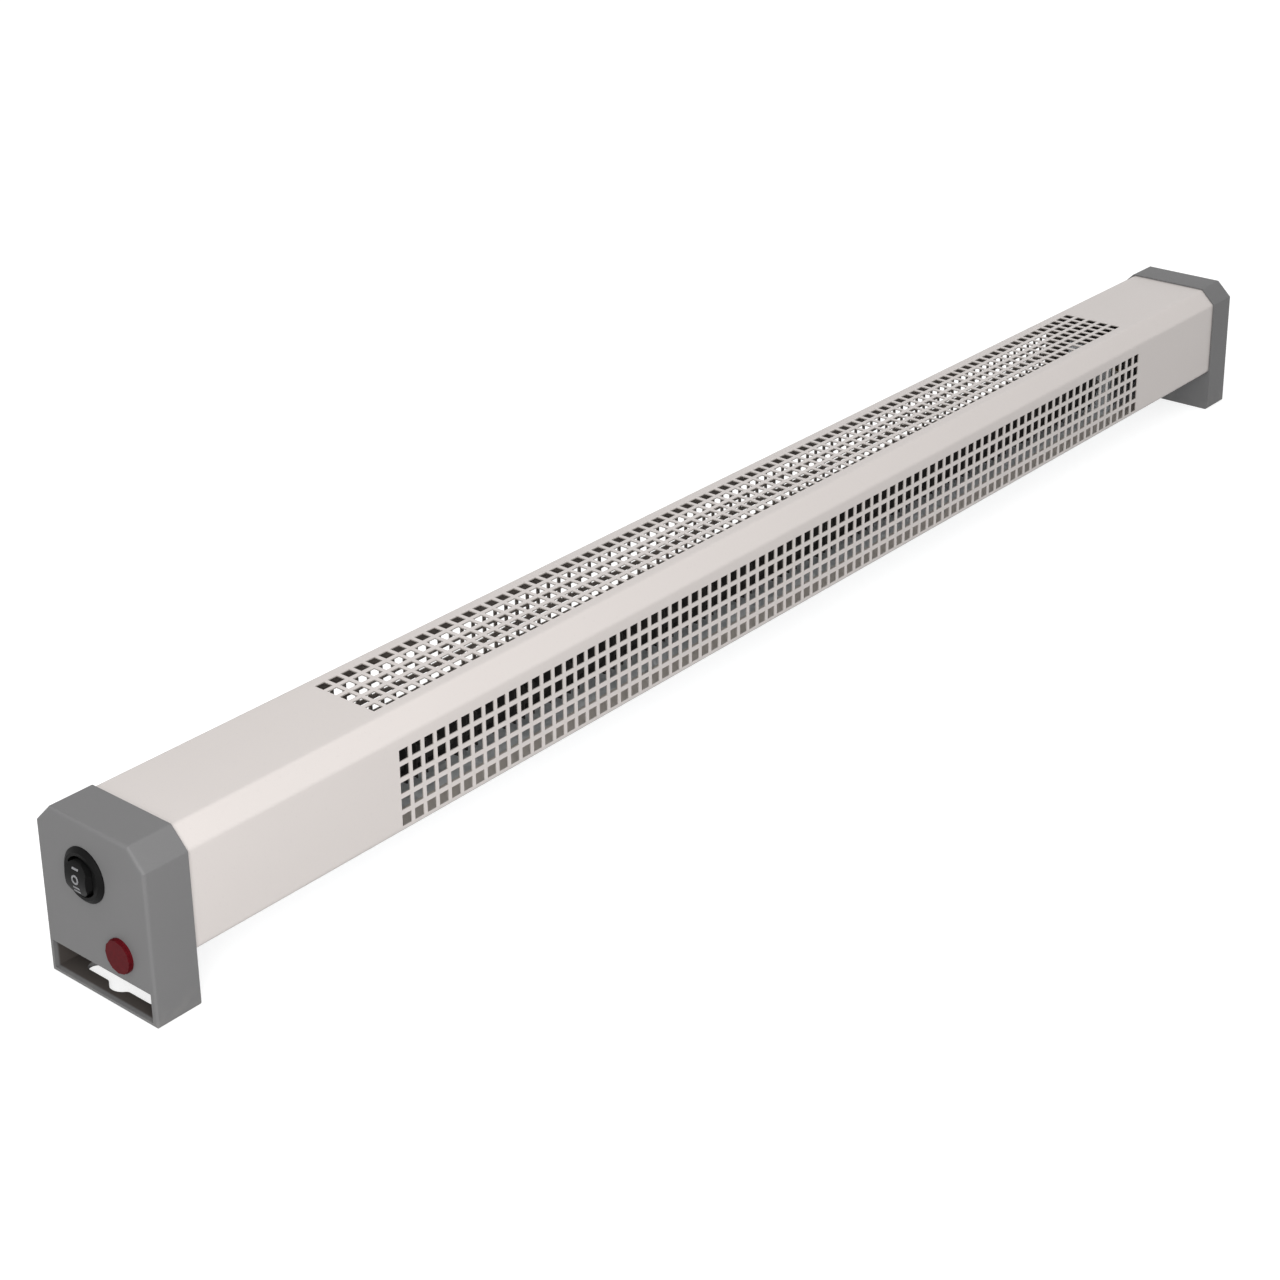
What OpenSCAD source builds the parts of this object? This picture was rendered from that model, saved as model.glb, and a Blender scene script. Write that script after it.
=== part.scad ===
// Low convector heater for a skirting, a window or a bench: a folded, perforated steel casing
// held between two moulded end caps that are also its feet. A round three-position rocker and
// a red pilot lamp sit in the left cap; two finned heating rods run inside the casing.
// X runs along the heater with the switch at its low end, the front faces -Y, and Z is up.
// The origin is on the floor, in the middle of the heater's overall box.

/* [Overall] */
// Length over both end caps
length = 830; // [700:5:1200]
// Depth over the end caps, front to back
depth = 63; // [56:0.5:72]
// Height over the end caps
height = 75; // [74.5:0.5:90]
// Height of the sloping band along both long top edges
chamfer = 8.5; // [6:0.25:9.5]
// Height of the casing's underside above the floor
body_bottom = 23; // [22.5:0.25:26]

/* [Casing] */
// Thickness of the folded steel sheet
sheet = 0.6; // [0.5:0.1:1.2]
// How far the end caps stand proud of the casing
cap_step = 1; // [0.8:0.1:2]
// Outside radius of the long upper bends
bend_r = 2.6; // [1.4:0.2:3.4]
// Outside radius of the lower folds
fold_r = 2.6; // [1.4:0.2:3]
// Width of the opening between the lips turned in under the casing
lip_gap = 33; // [30:0.5:35]

/* [Perforation] */
// Side of one square hole
hole = 5.2; // [3:0.1:5.6]
// Distance between neighbouring columns of holes
pitch = 7.15; // [6.6:0.05:8]
// Distance between neighbouring rows of holes
row_pitch = 7.35; // [6.6:0.05:8]
// Least distance from the switch end to the first hole
grid_in = 129.5; // [110:0.5:200]
// Least distance from the far end to the last hole
grid_out = 108; // [100:0.5:200]
// Least plain sheet beside the holes of the top
top_margin = 3; // [2:0.25:8]
// Least plain sheet above and below the holes of the front and back
side_margin = 3.5; // [2:0.25:8]

/* [End caps] */
// Length of one end cap
cap_len = 21; // [18:0.5:30]
// Thickness of the outer end wall
end_wall = 2.5; // [2:0.1:3]
// Thickness of the foot's side walls
foot_wall = 2.5; // [2:0.1:3.5]
// Thickness of the foot's floor
floor_t = 2.2; // [1.6:0.1:3]
// Thickness of the shelf above the foot's pocket
shelf_t = 2.4; // [2:0.1:3]
// Thickness of the wall that closes the pocket on the inner side
inner_wall = 2; // [1.5:0.1:3]
// Height of the pocket's mouth
pocket_h = 12.4; // [9:0.2:12.6]
// Radius of the caps' outer edges
edge_r = 1.6; // [0.6:0.1:2]
// Clearance between the caps and the casing
fit = 0.2; // [0.1:0.05:0.3]

/* [Wall slots] */
// Distance of the slot's centreline from the outer end
slot_in = 10.5; // [9:0.25:12]
// Length of the slot over its round ends
slot_len = 42; // [30:0.5:48]
// Width of the slot
slot_w = 6.5; // [5:0.1:7.5]
// Diameter of the round opening in the slot's middle
slot_eye = 12.8; // [10:0.1:14]

/* [Switch] */
// Distance of the switch's axis behind the middle of the cap
switch_y = 3.8; // [0:0.2:6]
// Distance of the switch's axis below the top
switch_drop = 22; // [20.5:0.1:24]
// Diameter of the bezel
bezel_d = 23; // [22:0.1:26]
// Diameter of the hole in the cap
switch_hole_d = 20; // [19.4:0.1:21]
// Thickness of the bezel's rim
bezel_rim = 0.9; // [0.5:0.1:1.5]
// Height of the bezel's inner edge
bezel_t = 1.9; // [1.5:0.1:2.2]
// Height of the opening in the bezel, over its round ends
window_d = 16.8; // [16.4:0.1:17.2]
// Width of the opening in the bezel
window_w = 14; // [13.8:0.1:15]
// Height of the rocker, over its round ends
rocker_d = 14.4; // [13.8:0.1:14.8]
// Width of the rocker
rocker_w = 13.4; // [12:0.1:13.4]
// Height of the rocker's crest above the cap
rocker_rise = 4.6; // [4.2:0.1:6]
// How far the rocker's face falls from its crest to its ends
rocker_fall = 1.5; // [0.8:0.1:2]
// Depth of the rocker's pivot behind the cap's face
pivot_in = 3.6; // [3:0.1:4.5]
// Depth of the switch's barrel behind the cap's face
barrel_len = 17; // [16:0.5:20]

/* [Pilot lamp] */
// Distance of the lamp's axis in front of the middle of the cap
lamp_y = 13.6; // [12:0.1:15]
// Height of the lamp's axis above the floor
lamp_z = 25.3; // [25.2:0.1:27]
// Diameter of the lens
lens_d = 14.2; // [13.8:0.1:15]
// Height of the lens above the cap
lens_t = 2; // [1.6:0.1:4]
// Diameter of the lens's barrel
lens_barrel_d = 11.8; // [11:0.1:12.2]
// Depth of the lamp behind the cap's face
lamp_len = 14; // [12:0.5:15]

/* [Heating element] */
// Diameter of one heating rod
rod_d = 6.5; // [5:0.1:7.5]
// Distance between the two rods
rod_gap = 10; // [9:0.25:12]
// Height of the rods above the floor
rod_z = 36; // [34.5:0.25:38]
// Distance from each end to the fins
element_in = 114; // [112:1:200]
// Distance between fins
fin_pitch = 6; // [4:0.5:12]
// Thickness of one fin
fin_t = 0.6; // [0.4:0.1:1]
// Depth of one fin, front to back
fin_w = 20; // [18:0.5:24]
// Height of one fin
fin_h = 16; // [12:0.5:18]

/* [Base plate and cord inlet] */
// Thickness of the base plate and the brackets
base_t = 1; // [0.8:0.1:1.2]
// Distance of the base plate's long edges from the casing's sides
base_inset = 3.5; // [3:0.1:5]
// Diameter of the bore for the supply cord
cord_bore_d = 7.5; // [6:0.1:8.5]
// Distance of the cord inlet from the left end
inlet_in = 62; // [50:1:80]
// Height of the cord inlet above the floor
inlet_z = 45; // [42:0.25:50]

/* [Hidden] */

// How far every cut runs past the faces it opens
over = 0.5;
// Steps in each rounded corner of an outline
arc_steps = 6;
$fn = 48;

// Places along X, and the switch's height
proud = rocker_rise;
near_x = -(length - proud) / 2;
far_x = near_x + length;
mid_x = near_x + length / 2;
switch_z = height - switch_drop;

// Casing
casing_w = depth - 2 * cap_step;
casing_top = height - cap_step;
bevel_share = 2 - sqrt(2);
casing_chamfer = chamfer - cap_step * bevel_share;
casing_gap = 0.3;
casing_x = near_x + end_wall + casing_gap;
casing_len = length - 2 * (end_wall + casing_gap);
lip = (casing_w - lip_gap) / 2;
side_h = casing_top - casing_chamfer - body_bottom;
roof_w = casing_w - 2 * casing_chamfer;
columns = floor((length - grid_in - grid_out - hole) / pitch) + 1;
side_rows = floor((side_h - 2 * side_margin - hole) / row_pitch) + 1;
top_rows = floor((roof_w - 2 * top_margin - hole) / row_pitch) + 1;
grid_x = near_x + grid_in + (length - grid_in - grid_out - (columns - 1) * pitch) / 2;
grid_drop = 1.2;
grid_z = body_bottom + (side_h - (side_rows - 1) * row_pitch) / 2 - grid_drop;
grid_y = -(top_rows - 1) * row_pitch / 2;
plate_z = body_bottom - base_t;

// Screws: one size of pan-head screw serves the base plate, the brackets, the block and the caps
screw_d = 2.9;
screw_head_d = 5.6;
screw_head_h = 1.9;
screw_len = 5;
cap_screw_len = 12;
screw_fit = 0.05;
recess_w = 0.8;
recess_len = 3.2;
recess_deep = 1.1;
base_screw_pairs = 4;
base_screw_end = 52;
base_w = casing_w - 2 * base_inset;
base_screw_y = (lip_gap / 2 + base_w / 2) / 2;
base_screw_step = (casing_len - 2 * base_screw_end) / (base_screw_pairs - 1);

// End caps
pocket_top = floor_t + pocket_h;
shelf_top = pocket_top + shelf_t;
boss_d = 7;
slot_blend_r = 2.5;

// Switch, measured from the cap's face inwards
rim_bevel = 0.9;
barrel_d = switch_hole_d - 2 * fit;
barrel_wall = 1;
barrel_floor = 2;
barb_out = 0.9;
barb_len = 4;
barb_w = 5;
trunnion_d = 3;
trunnion_fit = 0.1;
trunnion_len = 1.3;
rocker_skirt = 3.2;
rocker_edge_r = 1.2;
rocker_corner_r = 0.8;
rocker_lean = 0.8;
face_share = 0.84;
face_steps = 14;
stem_d = 6;
stem_len = 3.6;
plunger_d = 2.6;
plunger_out = 1.6;
plunger_bore = 5;
spring_wire = 0.35;
spring_turns = 6;
mark_t = 0.12;
mark_step = 4.4;
mark_bar_w = 3.6;
mark_bar_h = 0.8;
mark_ring_d = 4;
mark_ring_line = 0.8;
mark_pair_gap = 0.85;
spade_w = 4.8;
spade_t = 0.8;
spade_len = 8;
spade_root = 1.2;
spade_step = 5.4;

// Pilot lamp
lens_wall = 1;
lens_sides = 12;
lens_crown_share = 0.97;
lens_barrel_len = 8;
retainer_t = 1;
retainer_w = 2;
holder_wall = 0.9;
bulb_wall_gap = 0.6;
bulb_len = 8;
lamp_pin_d = 1;
lamp_pin_len = 6;
lamp_pin_gap = 3;

// Heating element
collar_t = 0.6;
rod_fit = 0.05;
finned_len = length - 2 * element_in;
rod_overhang = 22;
insulator_wall = 0.6;
insulator_in = 6;
insulator_out = 4;
rod_pin_d = 1.8;
rod_pin_out = 9;
bracket_gap = 4;
bracket_side_gap = 2.5;
bracket_w = lip_gap - 2 * bracket_side_gap;
bracket_foot = 13;
bracket_over = 2;
bracket_hole_fit = 0.1;
bracket_screw_y = 8;
bracket_screw_in = 8;
bracket_x = finned_len / 2 + bracket_gap;
fin_count = floor(finned_len / fin_pitch);

// Thermal cut-out on the near bracket
cutout_cup_d = 16.5;
cutout_room = 0.7;
cutout_z = rod_z + rod_d / 2 + cutout_room + cutout_cup_d / 2;
cutout_cup_h = 3;
cutout_body_d = 14.6;
cutout_body_h = 6.5;
cutout_ear_len = 26.4;
cutout_ear_h = 9;
cutout_ear_t = 0.8;
cutout_screw_y = 10.8;
cutout_tab_len = 6;
cutout_tab_y = 3.6;
bracket_top = cutout_z + cutout_cup_d / 2 + bracket_over;
small_screw_d = 2.4;
small_head_d = 4.2;
small_head_h = 1.3;
small_screw_len = 4;

// Terminal block
block_len = 17;
block_room = 10.5;
block_x = mid_x - finned_len / 2 - rod_overhang - insulator_out - rod_pin_out - block_room - block_len / 2;
block_w = 30;
block_h = 13;
block_step = 9.5;
clamp_d = 5;
clamp_bore = 3;
clamp_fit = 0.1;
clamp_inset = 1;
clamp_screw_d = 2.6;
clamp_screw_x = 4;
clamp_rise = 5.2;
block_screw_y = block_step / 2;

// Earth screw and cord bush
earth_room = 23;
earth_x = mid_x - finned_len / 2 - earth_room;
earth_d = 3.9;
earth_head_d = 6.6;
earth_len = 9;
nut_h = 2.6;
nut_d = 7.4;
bush_flange_d = 17;
bush_flange_t = 1;
bush_barrel_d = 12;
bush_barrel_len = 12;
bush_nut_d = 19;
bush_nut_h = 4;
bush_wall_fit = 0.1;

// Wires
wire_d = 1.8;
wire_bend = 1.8;
wire_lead = 6;

cream = [0.86, 0.845, 0.82];
cap_grey = [0.5, 0.5, 0.505];
zinc = [0.66, 0.68, 0.7];
black = [0.08, 0.08, 0.085];
steel = [0.72, 0.73, 0.74];
brass = [0.78, 0.65, 0.38];
fin_black = [0.1, 0.1, 0.1];
lens_red = [0.55, 0.08, 0.08, 0.85];
ceramic = [0.9, 0.88, 0.84];

function unit(v) = v / norm(v);
function turn(v, a) = [v.x * cos(a) - v.y * sin(a), v.x * sin(a) + v.y * cos(a)];

// One corner of an outline, as the points of its arc
function corner_arc(last, p, next, r) =
    let (u = unit(last - p), v = unit(next - p), half = acos(u * v) / 2)
    let (middle = p + unit(u + v) * r / sin(half), sweep = -sign(cross(u, v)) * (180 - 2 * half))
    r == 0 ? [p] : [
        for (k = [0:arc_steps]) middle + turn(p + u * r / tan(half) - middle, sweep * k / arc_steps)
    ];

// An outline with each of its corners rounded by its own radius
function rounded(points, radii) =
    let (n = len(points))
    [for (i = [0:n - 1]) each corner_arc(points[(i + n - 1) % n], points[i], points[(i + 1) % n], radii[i])];

// Cross-section with both upper corners sloped: width, lower and upper height, slope, radii
function section(w, z0, z1, slope, top_r, foot_r) = rounded(
    [
        [-w / 2, z0], [w / 2, z0], [w / 2, z1 - slope],
        [w / 2 - slope, z1], [slope - w / 2, z1], [-w / 2, z1 - slope]
    ],
    [foot_r, foot_r, top_r, top_r, top_r, top_r]
);

// The casing's cross-section moved inwards by an inset, or outwards by a negative one
function casing_section(inset) = section(
    casing_w - 2 * inset, body_bottom + inset, casing_top - inset,
    casing_chamfer - inset * bevel_share, bend_r - inset, fold_r - inset
);

module along_x(l) {
    rotate([90, 0, 90])
        linear_extrude(l)
            children();
}

module along_y(l) {
    translate([0, l / 2, 0])
        rotate([90, 0, 0])
            linear_extrude(l)
                children();
}

// Cylinder along X from the place given, and the same along Y
module rod_x(d, l) {
    rotate([0, 90, 0])
        cylinder(d = d, h = l);
}

module rod_y(d, l) {
    rotate([-90, 0, 0])
        cylinder(d = d, h = l);
}

// Turned piece along X from an outline of [distance inwards, radius]
module turned_x(points) {
    rotate([0, 90, 0])
        rotate_extrude()
            polygon([for (p = points) [p.y, p.x]]);
}

// Pan-head screw with its head's seat at z = 0, the head below and the shank above
module pan_screw(d, l, head_d, head_h) {
    difference() {
        union() {
            cylinder(d = d, h = l);
            translate([0, 0, -head_h / 2])
                cylinder(d = head_d, h = head_h / 2);
            translate([0, 0, -head_h])
                cylinder(d1 = head_d - head_h, d2 = head_d, h = head_h / 2);
        }
        for (a = [0, 90])
            rotate([0, 0, a])
                translate([-recess_len / 2, -recess_w / 2, -head_h - over])
                    cube([recess_len, recess_w, recess_deep + over]);
    }
}

module screw_hole(d, depth_up) {
    translate([0, 0, -over])
        cylinder(d = d + 2 * screw_fit, h = depth_up + 2 * over);
}

module hexagon(d, h) {
    cylinder(d = d, h = h, $fn = 6);
}

// A wire that runs along the axes through the points given, with a quarter bend at each corner
module wire(points) {
    last = len(points) - 1;
    for (i = [0:last - 1]) {
        run = unit(points[i + 1] - points[i]);
        start = points[i] + (i == 0 ? 0 : wire_bend) * run;
        end = points[i + 1] - (i == last - 1 ? 0 : wire_bend) * run;
        translate(start)
            facing(run)
                cylinder(d = wire_d, h = norm(end - start));
        if (i > 0)
            elbow(points[i], unit(points[i] - points[i - 1]), run);
    }
}

// Turns +Z to one of the axis directions
module facing(v) {
    if (v.z > 1 / 2)
        children();
    else if (v.z < -1 / 2)
        rotate([180, 0, 0])
            children();
    else if (abs(v.x) > 1 / 2)
        rotate([0, 90 * sign(v.x), 0])
            children();
    else
        rotate([-90 * sign(v.y), 0, 0])
            children();
}

// Quarter bend at a corner, entered along u and left along v
module elbow(corner, u, v) {
    middle = corner + wire_bend * (v - u);
    w = cross(u, v);
    multmatrix([
        [-v.x, u.x, w.x, middle.x],
        [-v.y, u.y, w.y, middle.y],
        [-v.z, u.z, w.z, middle.z],
        [0, 0, 0, 1]
    ])
        rotate_extrude(angle = 90)
            translate([wire_bend, 0])
                circle(d = wire_d);
}

module base_screw_places() {
    for (i = [0:base_screw_pairs - 1], side = [-1, 1])
        translate([casing_x + base_screw_end + i * base_screw_step, side * base_screw_y, plate_z])
            children();
}

module bracket_screw_places() {
    for (end = [-1, 1], side = [-1, 1])
        translate([mid_x + end * (bracket_x + bracket_screw_in), side * bracket_screw_y, plate_z])
            children();
}

module block_screw_places() {
    for (side = [-1, 1])
        translate([block_x, side * block_screw_y, plate_z])
            children();
}

module cap_screw_places() {
    for (x = [near_x + slot_in, far_x - slot_in])
        translate([x, 0, pocket_top])
            children();
}

module earth_place() {
    translate([earth_x, 0, plate_z])
        children();
}

// Room for the lamp in whatever the casing and the base plate would otherwise close
module lamp_notch() {
    notch_w = lens_barrel_d + 2 * retainer_w + 2 * fit;
    translate([near_x, -lamp_y - notch_w / 2, plate_z - over])
        cube([cap_len, notch_w, base_t + sheet + 2 * over]);
}

// Square holes of the front and back, and of the top
module side_grid() {
    for (i = [0:columns - 1], j = [0:side_rows - 1])
        translate([grid_x + i * pitch - hole / 2, -casing_w / 2 - over, grid_z + j * row_pitch - hole / 2])
            cube([hole, casing_w + 2 * over, hole]);
}

module top_grid() {
    for (i = [0:columns - 1], j = [0:top_rows - 1])
        translate([grid_x + i * pitch - hole / 2, grid_y + j * row_pitch - hole / 2, casing_top - sheet - over])
            cube([hole, hole, sheet + 2 * over]);
}

module casing() {
    color(cream)
        difference() {
            translate([casing_x, 0, 0])
                along_x(casing_len)
                    difference() {
                        polygon(casing_section(0));
                        polygon(casing_section(sheet));
                        translate([lip - casing_w / 2, body_bottom - over])
                            square([lip_gap, sheet + 2 * over]);
                    }
            side_grid();
            top_grid();
            lamp_notch();
            base_screw_places()
                screw_hole(screw_d, base_t + sheet);
            translate([near_x + inlet_in, casing_w / 2 - sheet - over, inlet_z])
                rod_y(bush_barrel_d + 2 * bush_wall_fit, sheet + 2 * over);
        }
}

module base_plate() {
    color(zinc)
        difference() {
            translate([casing_x, -base_w / 2, plate_z])
                cube([casing_len, base_w, base_t]);
            lamp_notch();
            base_screw_places()
                screw_hole(screw_d, base_t);
            bracket_screw_places()
                screw_hole(screw_d, base_t);
            block_screw_places()
                screw_hole(screw_d, base_t);
            cap_screw_places()
                screw_hole(screw_d, cap_screw_len);
            earth_place()
                screw_hole(earth_d, base_t);
        }
}

module base_screws() {
    color(steel)
        base_screw_places()
            pan_screw(screw_d, screw_len, screw_head_d, screw_head_h);
}

// Outside of one end cap, its outer face at x = 0 and its open side towards +X
module cap_outside() {
    intersection() {
        along_x(cap_len)
            polygon(section(depth, 0, height, chamfer, edge_r, edge_r));
        linear_extrude(height)
            polygon(rounded(
                [[0, -depth / 2], [cap_len, -depth / 2], [cap_len, depth / 2], [0, depth / 2]],
                [edge_r, 0, 0, edge_r]
            ));
        along_y(depth)
            polygon(rounded([[0, 0], [cap_len, 0], [cap_len, height], [0, height]], [edge_r, 0, 0, edge_r]));
        sloped_edge(45);
        sloped_edge(-45);
    }
}

// Slab whose upper face lies on a sloping band and whose outer upper edge is rounded
module sloped_edge(lean) {
    rise = (depth / 2 - chamfer + height) * sqrt(1 / 2);
    reach = depth + height;
    rotate([lean, 0, 0])
        along_y(2 * reach)
            polygon(rounded([[0, -reach], [cap_len, -reach], [cap_len, rise], [0, rise]], [0, 0, 0, edge_r]));
}

// Points of an arc round a centre, without the point at its last angle
function arc(c, r, a, b) =
    [for (k = [0:arc_steps - 1]) let (t = a + (b - a) * k / arc_steps) c + r * [cos(t), sin(t)]];

// Outline of the slot: its round opening, the blends beside it and its round ends
function slot_outline() =
    let (end_y = (slot_len - slot_w) / 2, blend_x = slot_w / 2 + slot_blend_r)
    let (blend_y = sqrt(pow(slot_eye / 2 + slot_blend_r, 2) - pow(blend_x, 2)))
    let (lean = atan2(blend_y, blend_x))
    let (quarter = concat(
        arc([0, 0], slot_eye / 2, 0, lean),
        arc([blend_x, blend_y], slot_blend_r, 180 + lean, 180),
        [[slot_w / 2, blend_y]],
        arc([0, end_y], slot_w / 2, 0, 90),
        [[0, end_y + slot_w / 2]]
    ))
    let (upper = concat(quarter, [for (i = [len(quarter) - 2:-1:1]) [-quarter[i].x, quarter[i].y]]))
    concat(upper, [for (p = upper) -p]);

// Slot in the foot's floor
module wall_slot(h) {
    linear_extrude(h)
        polygon(slot_outline());
}

module cap_shell() {
    chamber_w = depth - 2 * foot_wall;
    difference() {
        cap_outside();
        translate([end_wall, 0, 0])
            along_x(cap_len)
                polygon(casing_section(-fit));
        translate([end_wall, -chamber_w / 2, shelf_top])
            cube([cap_len - end_wall - inner_wall, chamber_w, body_bottom - shelf_top]);
        translate([end_wall, -base_w / 2 - fit, plate_z - fit])
            cube([cap_len, base_w + 2 * fit, base_t + 2 * fit]);
        translate([-over, -chamber_w / 2, floor_t])
            cube([cap_len - inner_wall + over, chamber_w, pocket_h]);
        translate([slot_in, 0, -over])
            wall_slot(floor_t + 2 * over);
        translate([slot_in, 0, pocket_top])
            screw_hole(screw_d, shelf_t);
    }
    difference() {
        translate([slot_in, 0, shelf_top])
            cylinder(d = boss_d, h = plate_z - shelf_top);
        translate([slot_in, 0, pocket_top])
            screw_hole(screw_d, cap_screw_len);
    }
}

module switch_end_cap() {
    color(cap_grey)
        translate([near_x, 0, 0])
            difference() {
                cap_shell();
                translate([-over, switch_y, switch_z])
                    rod_x(switch_hole_d, end_wall + 2 * over);
                translate([-over, -lamp_y, lamp_z])
                    rod_x(lens_barrel_d + 2 * fit, end_wall + 2 * over);
            }
}

module far_end_cap() {
    color(cap_grey)
        translate([far_x, 0, 0])
            mirror([1, 0, 0])
                cap_shell();
}

module end_cap_screws() {
    color(steel)
        cap_screw_places()
            pan_screw(screw_d, cap_screw_len, screw_head_d, screw_head_h);
}

module switch_place() {
    translate([near_x, switch_y, switch_z])
        children();
}

// Bezel and barrel of the switch in one moulding, with the pivot holes and the snap barbs
module switch_housing() {
    cavity_d = barrel_d - 2 * barrel_wall;
    color(black)
        switch_place() {
            difference() {
                turned_x([
                    [-bezel_t, 0], [-bezel_t, bezel_d / 2 - 2 * rim_bevel],
                    [-bezel_rim, bezel_d / 2 - rim_bevel / 2], [-bezel_rim / 2, bezel_d / 2],
                    [0, bezel_d / 2], [0, barrel_d / 2], [barrel_len, barrel_d / 2], [barrel_len, 0]
                ]);
                rod_x(cavity_d, barrel_len - barrel_floor);
                translate([-bezel_t - over, 0, 0])
                    round_ended(window_d, window_w, bezel_t + 2 * over);
                translate([pivot_in, -barrel_d, 0])
                    rod_y(trunnion_d + 2 * trunnion_fit, 2 * barrel_d);
                spade_places()
                    translate([-over, -spade_t / 2 - screw_fit, -spade_w / 2 - screw_fit])
                        cube([barrel_floor + 2 * over, spade_t + 2 * screw_fit, spade_w + 2 * screw_fit]);
            }
            for (side = [0, 180])
                rotate([side, 0, 0])
                    translate([0, 0, barrel_d / 2 - barb_out / 2])
                        along_y(barb_w)
                            polygon([
                                [end_wall + fit, 0], [end_wall + fit, 1.5 * barb_out],
                                [end_wall + barb_len, barb_out / 2], [end_wall + barb_len, 0]
                            ]);
        }
}

// Block along X whose front view is a circle with flat sides: height, width and length
module round_ended(h, w, l) {
    intersection() {
        rod_x(h, l);
        translate([0, -w / 2, -h / 2])
            cube([l, w, h]);
    }
}

// Roots of the three blades that leave the switch's floor
module spade_places() {
    for (i = [-1, 0, 1])
        translate([barrel_len - barrel_floor, i * spade_step, 0])
            children();
}

module switch_terminals() {
    color(brass)
        switch_place()
            spade_places()
                translate([-spade_root, -spade_t / 2, -spade_w / 2])
                    cube([spade_root + barrel_floor + spade_len, spade_t, spade_w]);
}

// Side view of the rocker's crowned face, from its low end to its high end, moved outwards
function face_line(out) = [
    for (i = [0:face_steps])
        let (s = face_share * (2 * i / face_steps - 1))
        [rocker_fall * s * s - rocker_rise - out, s * rocker_d / 2]
];

// Side view of the rocker: the crowned face between two leaning, rounded ends
function rocker_profile() =
    let (half = rocker_d / 2, edge = rocker_fall - rocker_rise)
    concat(
        [[rocker_skirt, half], [rocker_skirt, -half], [-bezel_t, -half]],
        corner_arc([-bezel_t, -half], [edge, rocker_lean / 2 - half], face_line(0)[0], rocker_edge_r / 2),
        face_line(0),
        corner_arc(
            face_line(0)[face_steps], [edge, half - rocker_lean / 2], [-bezel_t, half], rocker_edge_r / 2
        ),
        [[-bezel_t, half]]
    );

// View of the rocker from above: flat sides with rounded edges along the face
function rocker_plan() =
    let (half = rocker_w / 2)
    rounded(
        [[-rocker_rise - over, half - rocker_lean], [-bezel_t, half], [rocker_skirt, half],
         [rocker_skirt, -half], [-bezel_t, -half], [-rocker_rise - over, rocker_lean - half]],
        [0, rocker_corner_r, 0, 0, rocker_corner_r, 0]
    );

module switch_rocker() {
    color(black)
        switch_place()
            difference() {
                union() {
                    intersection() {
                        translate([-rocker_rise - over, 0, 0])
                            rod_x(rocker_d, rocker_rise + rocker_skirt + 2 * over);
                        along_y(rocker_d + over)
                            polygon(rocker_profile());
                        translate([0, 0, -rocker_d / 2])
                            linear_extrude(rocker_d)
                                polygon(rocker_plan());
                    }
                    translate([rocker_skirt, 0, 0])
                        rod_x(stem_d, stem_len);
                    translate([pivot_in, 0, 0])
                        trunnions();
                }
                translate([rocker_skirt + stem_len - plunger_bore, 0, 0])
                    rod_x(plunger_d + 2 * trunnion_fit, plunger_bore + over);
            }
}

// Ears that reach down to the pivot, with the stubs that turn in the housing
module trunnions() {
    ear_w = 2;
    inner_y = rocker_w / 2 - ear_w;
    for (side = [-1, 1])
        scale([1, side, 1]) {
            translate([rocker_skirt - pivot_in - over, inner_y, -trunnion_d / 2])
                cube([pivot_in - rocker_skirt + over, ear_w, trunnion_d]);
            translate([0, inner_y, 0])
                rod_y(trunnion_d, barrel_d / 2 - trunnion_fit - inner_y);
        }
}

// I above O above II, printed on the rocker's crowned face
module rocker_marks() {
    color("white")
        switch_place()
            intersection() {
                along_y(rocker_w)
                    polygon(concat(face_line(0), [for (i = [face_steps:-1:0]) face_line(mark_t)[i]]));
                translate([-rocker_rise - mark_t - over, 0, 0])
                    along_x(rocker_fall + 2 * over) {
                        mark_bar(mark_step);
                        mark_bar(-mark_step - mark_pair_gap);
                        mark_bar(-mark_step + mark_pair_gap);
                        difference() {
                            circle(d = mark_ring_d);
                            circle(d = mark_ring_d - 2 * mark_ring_line);
                        }
                    }
            }
}

module mark_bar(z) {
    translate([-mark_bar_w / 2, z - mark_bar_h / 2])
        square([mark_bar_w, mark_bar_h]);
}

module rocker_plunger() {
    tail = 1.2;
    color(steel)
        switch_place()
            translate([rocker_skirt + stem_len - tail, 0, 0]) {
                rod_x(plunger_d, tail + plunger_out - plunger_d / 2);
                translate([tail + plunger_out - plunger_d / 2, 0, 0])
                    sphere(d = plunger_d);
            }
}

// Ring of points round the spring's wire at one place of its winding
function spring_ring(t, coil_r, rise) =
    let (a = 360 * spring_turns * t)
    [for (k = [0:5]) let (b = 60 * k)
        [rise * t + spring_wire / 2 * sin(b), (coil_r + spring_wire / 2 * cos(b)) * cos(a),
         (coil_r + spring_wire / 2 * cos(b)) * sin(a)]];

module rocker_spring() {
    steps = 12 * spring_turns;
    coil_r = plunger_d / 2 - spring_wire / 2;
    tail = 1.2;
    free = plunger_bore - tail - spring_wire - 2 * trunnion_fit;
    rings = [for (i = [0:steps]) each spring_ring(i / steps, coil_r, free)];
    color(steel)
        switch_place()
            translate([rocker_skirt + stem_len - plunger_bore + spring_wire / 2 + trunnion_fit, 0, 0])
                polyhedron(
                    points = rings,
                    faces = concat(
                        [[for (k = [0:5]) k]],
                        [for (i = [0:steps - 1], k = [0:5])
                            let (a = 6 * i + k, b = 6 * i + (k + 1) % 6)
                            each [[a, a + 6, b], [b, a + 6, b + 6]]],
                        [[for (k = [0:5]) 6 * steps + 5 - k]]
                    )
                );
}

module lamp_place() {
    translate([near_x, -lamp_y, lamp_z])
        children();
}

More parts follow.
